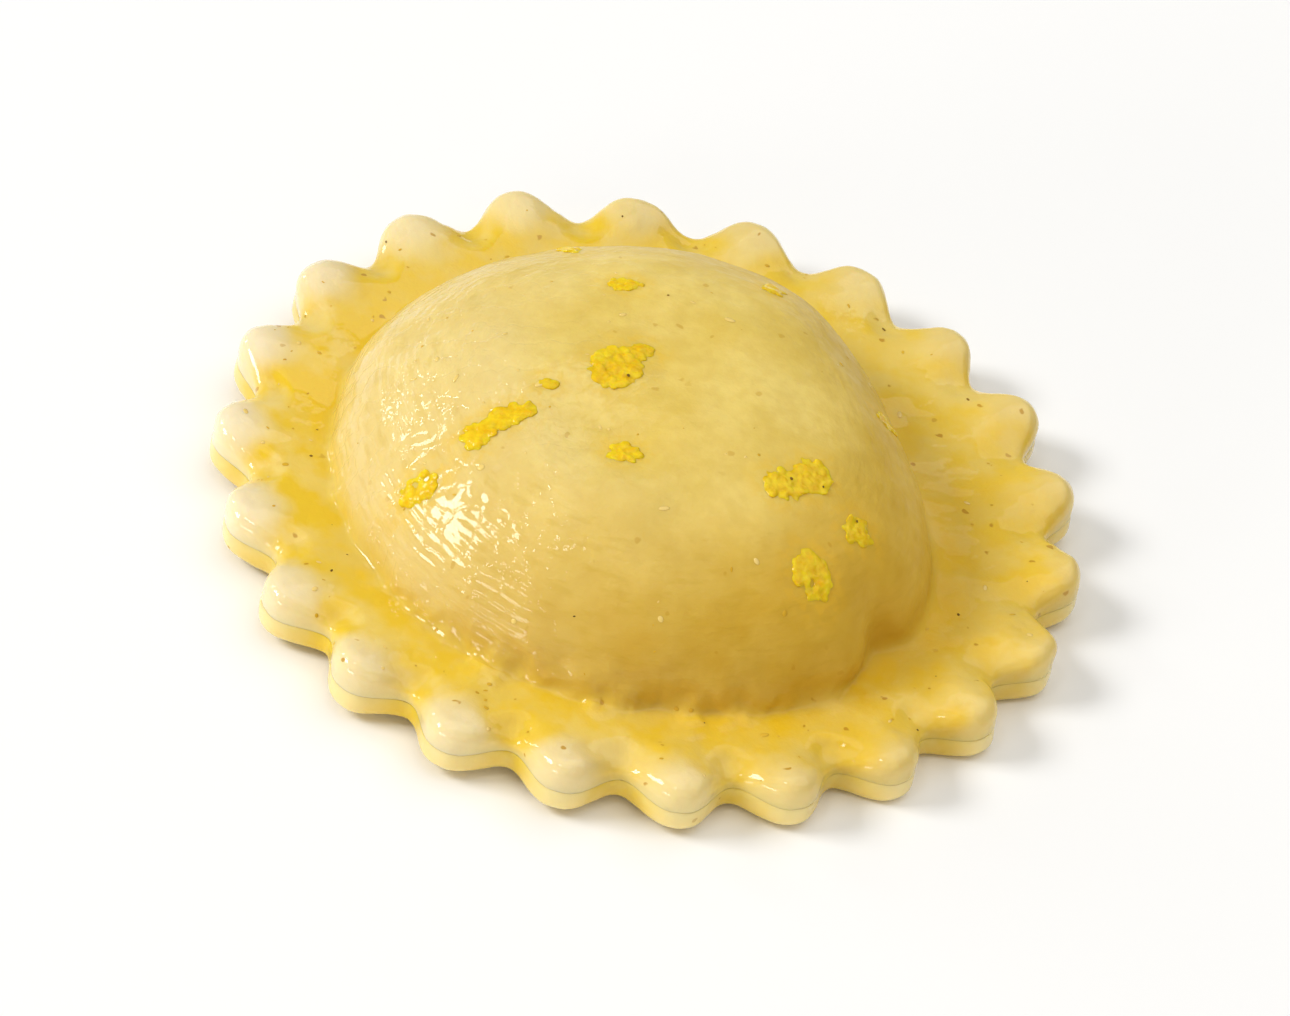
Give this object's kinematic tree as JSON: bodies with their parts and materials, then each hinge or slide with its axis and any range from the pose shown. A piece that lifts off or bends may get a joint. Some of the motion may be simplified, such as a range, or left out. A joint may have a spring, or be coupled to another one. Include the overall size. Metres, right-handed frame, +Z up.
{
  "type": "round ravioli",
  "caption": "Large round filled pasta with a fluted, scalloped edge and a domed middle, glazed with melted butter and flecked with lemon zest.",
  "frame": {"origin": "on the table, under the middle of the piece's footprint", "axes": "+Z up through the domed top, +Y away from the viewer, +X to the viewer's right"},
  "size_m": [0.0696, 0.0696, 0.0168],
  "materials": {
    "buttered_pasta": "cooked egg pasta under a wet film of melted butter",
    "pasta_edge": "cooked egg pasta, damp and paler at the cut edge",
    "lemon_zest": "grated lemon zest, wet with butter",
    "melted_butter": "melted butter in drops and thin pools",
    "ground_spice": "fine specks of browned butter and ground spice"
  },
  "bodies": {
    "root": {"domed_top": "buttered_pasta", "base_sheet": "pasta_edge"}
  },
  "joints": []
}
